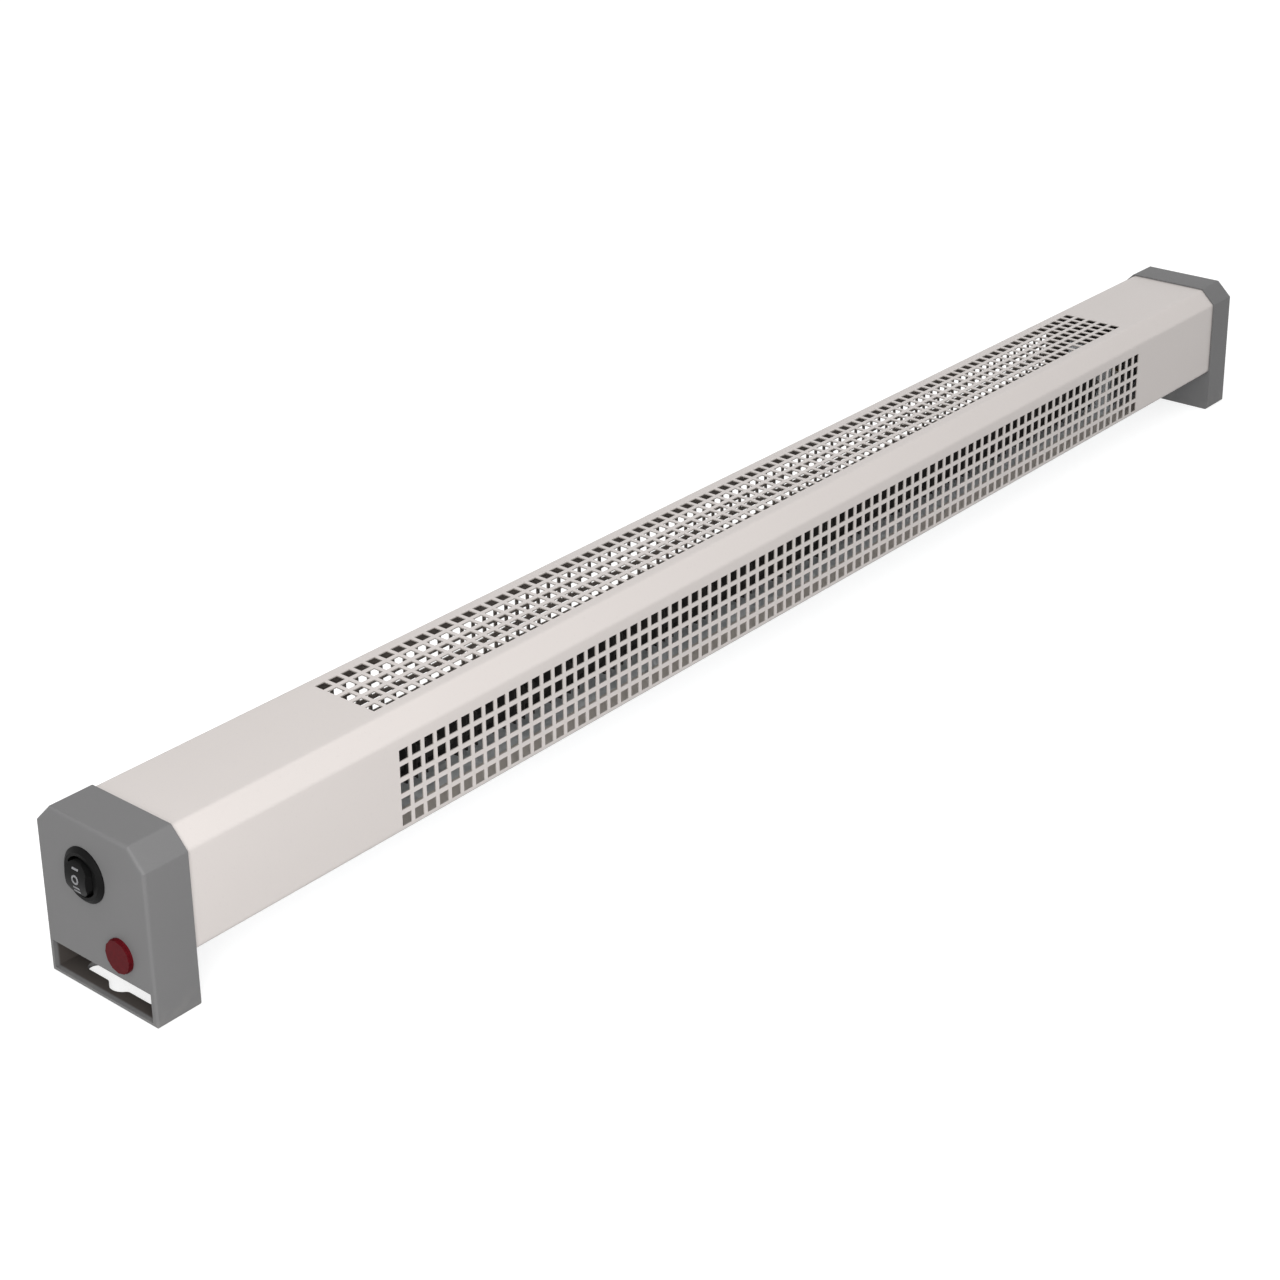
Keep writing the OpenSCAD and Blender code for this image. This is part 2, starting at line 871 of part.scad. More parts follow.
module lamp_lens() {
    crown_r = lens_d / 2 * lens_crown_share;
    color(lens_red)
        lamp_place()
            difference() {
                union() {
                    translate([-lens_t / 2, 0, 0])
                        rod_x(lens_d, lens_t / 2);
                    translate([-lens_t, 0, 0])
                        rotate([0, 90, 0])
                            cylinder(r = crown_r, h = lens_t, $fn = lens_sides);
                    rod_x(lens_barrel_d, lens_barrel_len);
                }
                translate([-lens_t + lens_wall, 0, 0])
                    rod_x(lens_barrel_d - 2 * lens_wall, lens_t + lens_barrel_len + over);
            }
}

module lamp_retainer() {
    color(steel)
        lamp_place()
            translate([end_wall, 0, 0])
                difference() {
                    rod_x(lens_barrel_d + 2 * retainer_w, retainer_t);
                    translate([-over, 0, 0])
                        rod_x(lens_barrel_d + 2 * screw_fit, retainer_t + 2 * over);
                }
}

holder_d = lens_barrel_d - 2 * lens_wall - 2 * screw_fit;

module lamp_holder() {
    inner_d = holder_d - 2 * holder_wall;
    color(ceramic)
        lamp_place()
            difference() {
                union() {
                    translate([end_wall, 0, 0])
                        rod_x(holder_d, lamp_len - end_wall);
                    translate([lens_barrel_len, 0, 0])
                        rod_x(lens_barrel_d, lamp_len - lens_barrel_len);
                }
                translate([end_wall - over, 0, 0])
                    rod_x(inner_d, lamp_len - 2 * holder_wall - end_wall);
                lamp_pin_places()
                    rod_x(lamp_pin_d + 2 * screw_fit, lamp_len);
            }
}

module lamp_pin_places() {
    for (side = [-1, 1])
        translate([end_wall + bulb_len, side * lamp_pin_gap / 2, 0])
            children();
}

module neon_bulb() {
    bulb_d = holder_d - 2 * holder_wall - 2 * bulb_wall_gap;
    start = end_wall - lens_wall;
    color([1, 0.75, 0.5, 0.6])
        lamp_place() {
            translate([start + bulb_d / 2, 0, 0])
                sphere(d = bulb_d);
            translate([start + bulb_d / 2, 0, 0])
                rod_x(bulb_d, bulb_len + end_wall - start - bulb_d / 2);
        }
}

module lamp_terminals() {
    color(brass)
        lamp_place()
            lamp_pin_places()
                rod_x(lamp_pin_d, lamp_len - end_wall - bulb_len + lamp_pin_len);
}

module rod_places() {
    for (end = [-1, 1], side = [-1, 1])
        translate([mid_x, side * rod_gap / 2, rod_z])
            scale([end, 1, 1])
                translate([finned_len / 2 + rod_overhang, 0, 0])
                    children();
}

module heating_rod(side) {
    rod_len = finned_len + 2 * rod_overhang;
    bore_d = rod_d - 2 * insulator_wall;
    color(steel)
        translate([mid_x - rod_len / 2, side * rod_gap / 2, rod_z])
            difference() {
                rod_x(rod_d, rod_len);
                translate([-over, 0, 0])
                    rod_x(bore_d, insulator_in + over);
                translate([rod_len - insulator_in, 0, 0])
                    rod_x(bore_d, insulator_in + over);
            }
}

module front_heating_rod() {
    heating_rod(-1);
}

module rear_heating_rod() {
    heating_rod(1);
}

module fin_pack() {
    color(fin_black)
        translate([mid_x - finned_len / 2, 0, rod_z])
            difference() {
                union() {
                    for (i = [0:fin_count - 1])
                        translate([(i + 1 / 2) * fin_pitch, -fin_w / 2, -fin_h / 2])
                            cube([fin_t, fin_w, fin_h]);
                    for (side = [-1, 1])
                        translate([0, side * rod_gap / 2, 0])
                            rod_x(rod_d + 2 * collar_t, finned_len);
                }
                for (side = [-1, 1])
                    translate([-over, side * rod_gap / 2, 0])
                        rod_x(rod_d + 2 * rod_fit, finned_len + 2 * over);
            }
}

module rod_insulators() {
    outer_d = rod_d - 2 * insulator_wall - 2 * rod_fit;
    color(ceramic)
        rod_places()
            translate([-insulator_in, 0, 0])
                difference() {
                    rod_x(outer_d, insulator_in + insulator_out);
                    translate([-over, 0, 0])
                        rod_x(rod_pin_d + 2 * rod_fit, insulator_in + insulator_out + 2 * over);
                }
}

module rod_pins() {
    color(brass)
        rod_places()
            translate([-insulator_in, 0, 0])
                rod_x(rod_pin_d, insulator_in + insulator_out + rod_pin_out);
}

// Upright plate with a foot, its inner face at x = 0 and its foot towards +X
module bracket_shape() {
    difference() {
        union() {
            translate([0, -bracket_w / 2, body_bottom])
                cube([base_t, bracket_w, bracket_top - body_bottom]);
            translate([0, -bracket_w / 2, body_bottom])
                cube([bracket_foot, bracket_w, base_t]);
        }
        for (side = [-1, 1]) {
            translate([-over, side * rod_gap / 2, rod_z])
                rod_x(rod_d + 2 * bracket_hole_fit, base_t + 2 * over);
            translate([bracket_screw_in, side * bracket_screw_y, body_bottom])
                screw_hole(screw_d, base_t);
        }
    }
}

module near_bracket() {
    color(zinc)
        difference() {
            translate([mid_x - bracket_x, 0, 0])
                mirror([1, 0, 0])
                    bracket_shape();
            cutout_screw_places()
                rod_x(small_screw_d + 2 * screw_fit, base_t + small_screw_len);
        }
}

module far_bracket() {
    color(zinc)
        translate([mid_x + bracket_x, 0, 0])
            bracket_shape();
}

module bracket_screws() {
    color(steel)
        bracket_screw_places()
            pan_screw(screw_d, screw_len, screw_head_d, screw_head_h);
}

// The cut-out sits on the near bracket's outer face, just above the rods
module cutout_place() {
    translate([mid_x - bracket_x - base_t, 0, cutout_z])
        mirror([1, 0, 0])
            children();
}

module cutout_screw_places() {
    for (side = [-1, 1])
        translate([mid_x - bracket_x - base_t - cutout_ear_t, side * cutout_screw_y, cutout_z])
            children();
}

module thermal_cutout() {
    color(black)
        difference() {
            cutout_place() {
                translate([0, -cutout_ear_len / 2, -cutout_ear_h / 2])
                    cube([cutout_ear_t, cutout_ear_len, cutout_ear_h]);
                rod_x(cutout_cup_d, cutout_cup_h);
                rod_x(cutout_body_d, cutout_cup_h + cutout_body_h);
                for (side = [-1, 1])
                    translate([cutout_cup_h, side * cutout_tab_y - spade_t / 2, -spade_w / 2])
                        cube([cutout_body_h + cutout_tab_len, spade_t, spade_w]);
            }
            cutout_screw_places()
                translate([-over, 0, 0])
                    rod_x(small_screw_d + 2 * screw_fit, base_t + cutout_ear_t + 2 * over);
        }
}

module cutout_screws() {
    color(steel)
        cutout_screw_places()
            rotate([0, 90, 0])
                pan_screw(small_screw_d, small_screw_len, small_head_d, small_head_h);
}

module block_place() {
    translate([block_x, 0, body_bottom])
        children();
}

module block_ways() {
    for (i = [-1, 0, 1])
        translate([0, i * block_step, clamp_rise])
            children();
}

module terminal_block() {
    color(ceramic)
        block_place()
            difference() {
                translate([-block_len / 2, -block_w / 2, 0])
                    cube([block_len, block_w, block_h]);
                block_ways() {
                    translate([-block_len / 2 - over, 0, 0])
                        rod_x(clamp_d + 2 * clamp_fit, block_len + 2 * over);
                    for (end = [-1, 1])
                        translate([end * clamp_screw_x, 0, 0])
                            cylinder(d = clamp_screw_d + 4 * clamp_fit, h = block_h);
                }
                for (side = [-1, 1])
                    translate([0, side * block_screw_y, -over])
                        cylinder(d = screw_d + 2 * screw_fit, h = screw_len + over);
            }
}

module terminal_clamps() {
    clamp_len = block_len - 2 * clamp_inset;
    color(brass)
        block_place()
            block_ways()
                difference() {
                    translate([-clamp_len / 2, 0, 0])
                        rod_x(clamp_d, clamp_len);
                    translate([-clamp_len / 2 - over, 0, 0])
                        rod_x(clamp_bore, clamp_len + 2 * over);
                    for (end = [-1, 1])
                        translate([end * clamp_screw_x, 0, 0])
                            cylinder(d = clamp_screw_d + 2 * screw_fit, h = clamp_d);
                }
}

module terminal_screws() {
    screw_top = block_h - clamp_rise - clamp_inset;
    color(steel)
        block_place()
            block_ways()
                for (end = [-1, 1])
                    translate([end * clamp_screw_x, 0, clamp_bore / 2])
                        difference() {
                            cylinder(d = clamp_screw_d, h = screw_top - clamp_bore / 2);
                            translate([-clamp_screw_d, -recess_w / 2, screw_top - clamp_bore / 2 - recess_w])
                                cube([2 * clamp_screw_d, recess_w, recess_w + over]);
                        }
}

module block_screws() {
    color(steel)
        block_screw_places()
            pan_screw(screw_d, screw_len, screw_head_d, screw_head_h);
}

module earth_screw() {
    color(brass)
        earth_place()
            pan_screw(earth_d, earth_len, earth_head_d, screw_head_h);
}

module earth_nut() {
    color(brass)
        earth_place()
            translate([0, 0, base_t])
                difference() {
                    hexagon(nut_d, nut_h);
                    screw_hole(earth_d, nut_h);
                }
}

module bush_place() {
    translate([near_x + inlet_in, casing_w / 2, inlet_z])
        children();
}

module cord_bush() {
    color(black)
        bush_place()
            difference() {
                union() {
                    rod_y(bush_flange_d, bush_flange_t);
                    translate([0, -bush_barrel_len, 0])
                        rod_y(bush_barrel_d, bush_barrel_len);
                }
                translate([0, -bush_barrel_len - over, 0])
                    rod_y(cord_bore_d, bush_barrel_len + bush_flange_t + 2 * over);
            }
}

module bush_nut() {
    color(black)
        bush_place()
            translate([0, -sheet - bush_nut_h, 0])
                rotate([-90, 0, 0])
                    difference() {
                        hexagon(bush_nut_d, bush_nut_h);
                        screw_hole(bush_barrel_d, bush_nut_h);
                    }
}

// Ends of the wires: a blade's tip, a block way's mouth, a rod pin's tip, a cut-out tab's tip
function blade_tip(i) = [near_x + barrel_len + spade_len, switch_y + i * spade_step, switch_z];
function way_mouth(i, end) = [
    block_x + end * block_len / 2, i * block_step, body_bottom + clamp_rise
];
function pin_tip(end, side) = [
    mid_x + end * (finned_len / 2 + rod_overhang + insulator_out + rod_pin_out), side * rod_gap / 2, rod_z
];
function tab_tip(side) = [
    mid_x - bracket_x - base_t - cutout_cup_h - cutout_body_h - cutout_tab_len, side * cutout_tab_y, cutout_z
];

// Wire from the terminal block up to the thermal cut-out
module supply_wire() {
    mouth = way_mouth(1, 1);
    tab = tab_tip(1);
    rise_x = tab.x - wire_lead;
    color("brown")
        wire([mouth, [rise_x, mouth.y, mouth.z], [rise_x, mouth.y, tab.z], [rise_x, tab.y, tab.z], tab]);
}

// Wire from the thermal cut-out to the switch's middle blade
module cutout_wire() {
    tip = blade_tip(0);
    tab = tab_tip(-1);
    cross_x = tab.x - 2 * wire_lead;
    color("brown")
        wire([tab, [cross_x, tab.y, tab.z], [cross_x, tip.y, tab.z], [cross_x, tip.y, tip.z], tip]);
}

module stage_one_wire() {
    stage_wire(-1, lamp_pin_gap / 2 - lamp_y, "black");
}

module stage_two_wire() {
    stage_wire(1, bracket_w / 2, "dimgray");
}

// Wire from a side blade over the terminal block to the rod pin on the same side
module stage_wire(side, lane_y, tint) {
    tip = blade_tip(side);
    pin = pin_tip(-1, side);
    out_x = tip.x + wire_lead;
    drop_x = pin.x - wire_lead;
    color(tint)
        wire([
            tip, [out_x, tip.y, tip.z], [out_x, lane_y, tip.z], [drop_x, lane_y, tip.z],
            [drop_x, lane_y, pin.z], [drop_x, pin.y, pin.z], pin
        ]);
}

// Wire from the far rods along the back of the casing to the terminal block
module return_wire() {
    mouth = way_mouth(-1, 1);
    far_end = pin_tip(1, 1);
    lane_y = bracket_w / 2 + 2 * wire_d;
    cross_z = mouth.z + 2 * wire_bend + wire_d / 2;
    near_turn = mouth.x + wire_lead;
    far_turn = far_end.x + wire_lead;
    color("blue")
        wire([
            mouth, [near_turn, mouth.y, mouth.z], [near_turn, mouth.y, cross_z], [near_turn, lane_y, cross_z],
            [near_turn, lane_y, mouth.z], [far_turn, lane_y, mouth.z], [far_turn, lane_y, far_end.z],
            [far_turn, far_end.y, far_end.z], far_end
        ]);
}

module earth_wire() {
    mouth = way_mouth(0, 1);
    color("green")
        wire([mouth, [earth_x - earth_d / 2, mouth.y, mouth.z]]);
}

// One lead joins the first stage's wire, the other runs to the terminal block
module lamp_wires() {
    tip_x = near_x + lamp_len + lamp_pin_len;
    live = [tip_x, lamp_pin_gap / 2 - lamp_y, lamp_z];
    neutral = [tip_x, -lamp_pin_gap / 2 - lamp_y, lamp_z];
    mouth = way_mouth(-1, -1);
    join_x = tip_x + 3 * wire_lead;
    lane_z = mouth.z + wire_lead;
    out_x = tip_x + wire_lead;
    in_x = mouth.x - wire_lead;
    color("gray") {
        wire([live, [join_x, live.y, live.z], [join_x, live.y, switch_z - wire_d / 2]]);
        wire([
            neutral, [out_x, neutral.y, neutral.z], [out_x, neutral.y, lane_z], [in_x, neutral.y, lane_z],
            [in_x, mouth.y, lane_z], [in_x, mouth.y, mouth.z], mouth
        ]);
    }
}

// Link between the two rods' far pins
module rod_link() {
    color(brass)
        difference() {
            translate(pin_tip(1, -1) - [rod_pin_out / 2, rod_pin_d, rod_pin_d])
                cube([base_t, rod_gap + 2 * rod_pin_d, 2 * rod_pin_d]);
            for (side = [-1, 1])
                translate(pin_tip(1, side) - [rod_pin_out, 0, 0])
                    rod_x(rod_pin_d + 2 * rod_fit, rod_pin_out);
        }
}

casing();
base_plate();
base_screws();
switch_end_cap();
far_end_cap();
end_cap_screws();
switch_housing();
switch_rocker();
rocker_marks();
rocker_plunger();
rocker_spring();
switch_terminals();
lamp_lens();
lamp_retainer();
lamp_holder();
neon_bulb();
lamp_terminals();
front_heating_rod();
rear_heating_rod();
fin_pack();
rod_insulators();
rod_pins();
near_bracket();
far_bracket();
bracket_screws();
thermal_cutout();
cutout_screws();
terminal_block();
terminal_clamps();
terminal_screws();
block_screws();
earth_screw();
earth_nut();
cord_bush();
bush_nut();
supply_wire();
stage_one_wire();
stage_two_wire();
return_wire();
cutout_wire();
earth_wire();
lamp_wires();
rod_link();
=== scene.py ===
# %% [markdown]
# # A low convector heater
#
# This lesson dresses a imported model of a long, low electric convector: a perforated,
# bevelled steel casing between two grey moulded end caps, with a round rocker switch
# and a red pilot lamp in the left one. The shapes arrive finished, so the work here is
# light, camera and, most of all, the finishes.

# %% Load the frame
import math

import bpy
from mathutils import Matrix, Vector


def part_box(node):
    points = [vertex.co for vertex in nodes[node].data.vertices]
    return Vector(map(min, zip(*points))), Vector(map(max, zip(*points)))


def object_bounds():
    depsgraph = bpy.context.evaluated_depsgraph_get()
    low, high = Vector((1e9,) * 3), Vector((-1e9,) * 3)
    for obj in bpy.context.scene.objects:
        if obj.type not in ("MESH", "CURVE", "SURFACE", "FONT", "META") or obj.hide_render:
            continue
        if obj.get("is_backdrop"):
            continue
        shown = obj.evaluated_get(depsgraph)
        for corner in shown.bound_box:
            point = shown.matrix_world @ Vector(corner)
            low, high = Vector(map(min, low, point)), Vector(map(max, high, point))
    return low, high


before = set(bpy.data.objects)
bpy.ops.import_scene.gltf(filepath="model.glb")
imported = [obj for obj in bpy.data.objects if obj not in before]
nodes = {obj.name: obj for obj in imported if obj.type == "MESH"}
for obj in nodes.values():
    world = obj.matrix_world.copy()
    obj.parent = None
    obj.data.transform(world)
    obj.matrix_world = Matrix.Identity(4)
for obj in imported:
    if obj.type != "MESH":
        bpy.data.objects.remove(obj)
cad_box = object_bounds()
low, high = cad_box
print("pieces:", len(nodes), "size in mm:", [round(1000 * (b - a), 1) for a, b in zip(low, high)])

# %% [markdown]
# ## Smooth bends, crisp edges
#
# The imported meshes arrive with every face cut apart. A Weld modifier joins the points
# that touch, and edges that turn less than about 25 degrees are shaded as one curve.
# The folds of the sheet and the rounded edges of the caps then read as curves, while
# the punched holes stay crisp. Subdivision would also round them, at a far higher cost.

# %% Join and shade
SMOOTH_TURN = math.radians(25)


def shade_smooth(thing):
    """Joins the mesh's touching points and shades gentle turns as curves."""
    weld = thing.modifiers.new("join touching points", "WELD")
    weld.merge_threshold = 1e-6
    smooth = thing.modifiers.new("round gentle turns", "NODES")
    group = bpy.data.node_groups.get("round_gentle_turns")
    if group is None:
        group = bpy.data.node_groups.new("round_gentle_turns", "GeometryNodeTree")
        group.interface.new_socket("Geometry", in_out="INPUT", socket_type="NodeSocketGeometry")
        group.interface.new_socket("Geometry", in_out="OUTPUT", socket_type="NodeSocketGeometry")
        entry = group.nodes.new("NodeGroupInput")
        leave = group.nodes.new("NodeGroupOutput")
        turn = group.nodes.new("GeometryNodeInputMeshEdgeAngle")
        gentle = group.nodes.new("FunctionNodeCompare")
        gentle.data_type = "FLOAT"
        gentle.operation = "LESS_THAN"
        gentle.inputs["B"].default_value = SMOOTH_TURN
        edges = group.nodes.new("GeometryNodeSetShadeSmooth")
        edges.domain = "EDGE"
        faces = group.nodes.new("GeometryNodeSetShadeSmooth")
        faces.domain = "FACE"
        link = group.links.new
        link(turn.outputs["Unsigned Angle"], gentle.inputs["A"])
        link(entry.outputs[0], edges.inputs["Geometry"])
        link(gentle.outputs["Result"], edges.inputs["Shade Smooth"])
        link(edges.outputs["Geometry"], faces.inputs["Geometry"])
        link(faces.outputs["Geometry"], leave.inputs[0])
    smooth.node_group = group


for thing in nodes.values():
    shade_smooth(thing)
print("shaded:", len(nodes), "pieces")

# %% [markdown]
# ## Sums on sockets
#
# A finish is mostly arithmetic: a mask times a colour, a height plus a finer height.
# Wiring Math nodes by hand hides that, so a small class wraps a socket and turns plain
# Python sums into nodes. A second class holds one material and makes any other node.

# %% Helpers for finishes
class Value:
    """A number that changes over a surface: one output socket, ready for sums."""

    def __init__(self, finish, socket):
        self.finish = finish
        self.socket = socket

    def math(self, operation, *others):
        return self.finish.node("Math", {"operation": operation}, dict(enumerate([self, *others])))

    def __add__(self, other):
        return self.math("ADD", other)

    __radd__ = __add__

    def __mul__(self, other):
        return self.math("MULTIPLY", other)

    __rmul__ = __mul__

    def __sub__(self, other):
        return self.math("SUBTRACT", other)

    def __rsub__(self, other):
        return self.finish.node("Math", {"operation": "SUBTRACT"}, {0: other, 1: self})

    def __abs__(self):
        return self.math("ABSOLUTE")

    def step(self, start, end):
        """0 before start, 1 after end, and a soft rise between them."""
        settings = {"interpolation_type": "SMOOTHSTEP"}
        links = {"Value": self, "From Min": start, "From Max": end}
        return self.finish.node("MapRange", settings, links)


class Finish:
    """One procedural material around a Principled shader."""

    def __init__(self, name, **constants):
        self.material = bpy.data.materials.new(name)
        self.material.use_nodes = True
        self.tree = self.material.node_tree
        self.shader = self.tree.nodes["Principled BSDF"]
        for socket, value in constants.items():
            self.shader.inputs[socket.replace("_", " ")].default_value = value
        where = self.tree.nodes.new("ShaderNodeTexCoord")
        self.place = Value(self, where.outputs["Object"])
        split = self.tree.nodes.new("ShaderNodeSeparateXYZ")
        self.tree.links.new(self.place.socket, split.inputs[0])
        self.x, self.y, self.z = (Value(self, out) for out in split.outputs)

    def put(self, socket, value):
        """Sets an input socket from a number, a colour or a Value."""
        if isinstance(value, Value):
            self.tree.links.new(value.socket, socket)
        else:
            socket.default_value = value

    def node(self, kind, settings, inputs, output=0):
        """Any node: its kind, its settings, then the values or links of its sockets."""
        made = self.tree.nodes.new("ShaderNode" + kind)
        for name, value in settings.items():
            setattr(made, name, value)
        for name, value in inputs.items():
            self.put(made.inputs[name], value)
        return Value(self, made.outputs[output])

    def noise(self, size, detail=2.0, roughness=0.5, stretch=(1, 1, 1)):
        """Soft cloudy noise whose lumps are about size metres across, from 0 to 1."""
        place = self.place
        if stretch != (1, 1, 1):
            place = self.node("VectorMath", {"operation": "MULTIPLY"}, {0: place, 1: stretch})
        inputs = {"Vector": place, "Scale": 1 / size, "Detail": detail, "Roughness": roughness}
        return self.node("TexNoise", {}, inputs)

    def cells(self, size):
        """Irregular cells about size metres across, each with its own shade from 0 to 1."""
        inputs = {"Vector": self.place, "Scale": 1 / size}
        cell = self.node("TexVoronoi", {}, inputs, "Color")
        return self.node("SeparateColor", {}, {"Color": cell})

    def blend(self, share, first, second):
        """A colour that goes from first to second as share goes from 0 to 1."""
        made = self.tree.nodes.new("ShaderNodeMix")
        made.data_type = "RGBA"
        self.put(made.inputs["Factor"], share)
        for socket, colour in ((made.inputs[6], first), (made.inputs[7], second)):
            self.put(socket, colour if isinstance(colour, Value) else (*colour, 1))
        return Value(self, made.outputs[2])

    def colour(self, value):
        self.put(self.shader.inputs["Base Color"], value)

    def roughness(self, value):
        self.put(self.shader.inputs["Roughness"], value)

    def relief(self, height, metres):
        """Bumps of the given height where height goes from 0 to 1."""
        inputs = {"Height": height, "Distance": metres, "Strength": 1.0}
        self.put(self.shader.inputs["Normal"], self.node("Bump", {}, inputs))

    def facing(self):
        """The three parts of the surface's direction, for pieces that don't move."""
        split = self.tree.nodes.new("ShaderNodeSeparateXYZ")
        lie = self.tree.nodes.new("ShaderNodeNewGeometry")
        self.tree.links.new(lie.outputs["True Normal"], split.inputs[0])
        return tuple(Value(self, out) for out in split.outputs)

    def wear(self, *names):
        """Gives this finish to the pieces named."""
        for name in names:
            slots = nodes[name].data.materials
            if slots:
                for i in range(len(slots)):
                    slots[i] = self.material
            else:
                slots.append(self.material)


def mix_of(colour, share):
    """A colour made darker or lighter by one factor, worked out in Python."""
    return tuple(part * share for part in colour)


print("helpers ready")

# %% [markdown]
# ## The enamelled casing
#
# The real casing is thin sheet, punched and folded and then stoved in a warm off-white.
# Such paint has a faint orange peel about two millimetres across and a very slight cloud
# in its tone. The punched edges catch less paint. The inside is coloured dark as painted
# shade, a little less dark on the lower lip. All of that is mixed from position and
# direction, so no image is needed.

# %% Casing enamel
CREAM = (0.605, 0.564, 0.543)
# painted shade: the casing's inside is coloured dark, and a little less dark on the lower lip
INSIDE_SHADE = (0.17, 0.145, 0.125)
LIP_SHADE = (0.50, 0.46, 0.42)
CUT_EDGE = (0.44, 0.41, 0.385)
SHEET = 0.0006
BEVEL = 0.0079
BEND_ZONE = 0.010
SOFT = 0.0001
SQUARE_ON = (0.9, 0.99)
casing_low, casing_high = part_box("casing")
half_depth = casing_high.y
roof = casing_high.z
wall_face = half_depth - 0.8 * SHEET
roof_face = roof - 0.8 * SHEET
slope_face = half_depth + roof - BEVEL

enamel = Finish("enamel_cream", Specular_IOR_Level=0.30)
cloud = enamel.noise(0.11, 3.0)
speckle = enamel.noise(0.0011, 2.0)
tone = enamel.blend(cloud, mix_of(CREAM, 0.975), mix_of(CREAM, 1.025))
tone = enamel.blend((speckle - 0.62).step(0.0, 0.12) * 0.22, tone, mix_of(CREAM, 0.86))
inner_side = 1 - abs(enamel.y).step(wall_face - SOFT, wall_face + SOFT)
inner_roof = 1 - enamel.z.step(roof_face - SOFT, roof_face + SOFT)
inner_slope = 1 - (abs(enamel.y) + enamel.z).step(slope_face - 1.35 * SHEET, slope_face - SHEET)
inside = inner_side * inner_roof * inner_slope
nx, ny, nz = enamel.facing()
below_bends = 1 - enamel.z.step(roof - BEND_ZONE - 10 * SOFT, roof - BEND_ZONE)
in_roof = enamel.z.step(roof - 2 * SHEET, roof - 2 * SHEET + SOFT)
along = abs(nx).step(*SQUARE_ON)
across_side = abs(nz).step(*SQUARE_ON) * below_bends
across_roof = abs(ny).step(*SQUARE_ON) * in_roof
above_lips = enamel.z.step(casing_low.z + 0.002, casing_low.z + 0.003)
cut = ((along + across_side + across_roof) * above_lips).math("MINIMUM", 1)
tone = enamel.blend(cut * 0.85, tone, CUT_EDGE)
on_lip = 1 - enamel.z.step(casing_low.z + 0.0008, casing_low.z + 0.0012)
# painted shade: the inside of the sheet gets the dark colour, lighter on the lower lip
tone = enamel.blend(inside * 0.9, tone, enamel.blend(on_lip, INSIDE_SHADE, LIP_SHADE))
enamel.colour(tone)
enamel.roughness(0.36 + 0.10 * enamel.noise(0.02, 3.0) + 0.12 * cut)
enamel.relief(enamel.noise(0.0021, 1.5) + 0.25 * enamel.noise(0.0004, 1.0), 0.00003)
enamel.wear("casing")
print("casing enamel: sheet", SHEET * 1000, "mm, bends at", round(half_depth * 1000, 1), "mm")

# %% [markdown]
# ## The end caps
#
# The caps are moulded in a mid grey plastic with a fine spark-eroded texture: dull, with
# tiny pits about a third of a millimetre across, and a little dust low down. The walls of
# the foot's pocket are coloured darker than the rest. The plastic is the same there; the
# darker colour stands in for the deep shade of the picture, which soft light doesn't give.

# %% Grey moulding
GREY = (0.160, 0.159, 0.160)
DUST = (0.36, 0.34, 0.31)
POCKET_SHADE = (0.055, 0.046, 0.040)
POCKET_FLOOR = 0.0022
POCKET_ROOF = 0.0146
FRONT_SKIN = 0.0012
END_SKIN = 0.0026
INNER_WALL = 0.0206
FADE = 0.0006
near_low, near_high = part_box("switch_end_cap")
far_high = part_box("far_end_cap")[1]
cap_front = near_high.y
caps_middle = (near_low.x + far_high.x) / 2
cap_end = (far_high.x - near_low.x) / 2
grey =Finish("grey_moulding", Specular_IOR_Level=0.20)
pits = grey.noise(0.00035, 2.0, 0.6)
drift = grey.noise(0.045, 3.0)
tone = grey.blend(drift, mix_of(GREY, 0.95), mix_of(GREY, 1.05))
tone = grey.blend((pits - 0.5).step(0.0, 0.3) * 0.35, tone, mix_of(GREY, 1.25))
dust = (1 - grey.z.step(0.002, 0.012)) * grey.noise(0.006, 3.0).step(0.35, 0.8)
tone = grey.blend(dust * 0.12, tone, DUST)
behind_front = 1 - abs(grey.y).step(cap_front - FRONT_SKIN, cap_front - FRONT_SKIN + FADE)
from_middle = abs(grey.x - caps_middle)
behind_end = 1 - from_middle.step(cap_end - END_SKIN, cap_end - END_SKIN + 2 * FADE)
before_wall = from_middle.step(cap_end - INNER_WALL, cap_end - INNER_WALL + FADE)
above_floor = grey.z.step(POCKET_FLOOR - 0.0004, POCKET_FLOOR - 0.0001)
below_shelf = 1 - grey.z.step(POCKET_ROOF + 0.0002, POCKET_ROOF + 0.0006)
pocket = behind_front * behind_end * before_wall * above_floor * below_shelf
tone = grey.blend(pocket * 0.9, tone, POCKET_SHADE)
grey.colour(tone)
grey.roughness(0.50 + 0.12 * pits)
grey.relief(pits + 0.4 * grey.noise(0.0012, 2.0), 0.00004)
grey.wear("switch_end_cap", "far_end_cap")
print("end caps: grain about 0.35 mm")

# %% [markdown]
# ## Black parts of the switch
#
# The bezel is a matt black moulding and the rocker a slightly smoother one, with soft
# patches that fingers have polished. The marks are a pale print that has started to wear.

# %% Switch finishes
matt_black = Finish("black_moulding", Specular_IOR_Level=0.06)
grain = matt_black.noise(0.0003, 2.0, 0.6)
matt_black.colour(matt_black.blend(grain, (0.003, 0.003, 0.003), (0.007, 0.007, 0.007)))
matt_black.roughness(0.42 + 0.15 * grain)
matt_black.relief(grain, 0.00002)
matt_black.wear("switch_housing", "thermal_cutout", "cord_bush", "bush_nut")

rocker_black = Finish("black_rocker", Specular_IOR_Level=0.06)
grain = rocker_black.noise(0.00045, 2.0)
touched = rocker_black.noise(0.004, 3.0)
rocker_black.colour(rocker_black.blend(touched, (0.003, 0.003, 0.003), (0.006, 0.006, 0.006)))
rocker_black.roughness(0.40 + 0.12 * grain - 0.08 * touched)
rocker_black.relief(grain, 0.000012)
rocker_black.wear("switch_rocker")

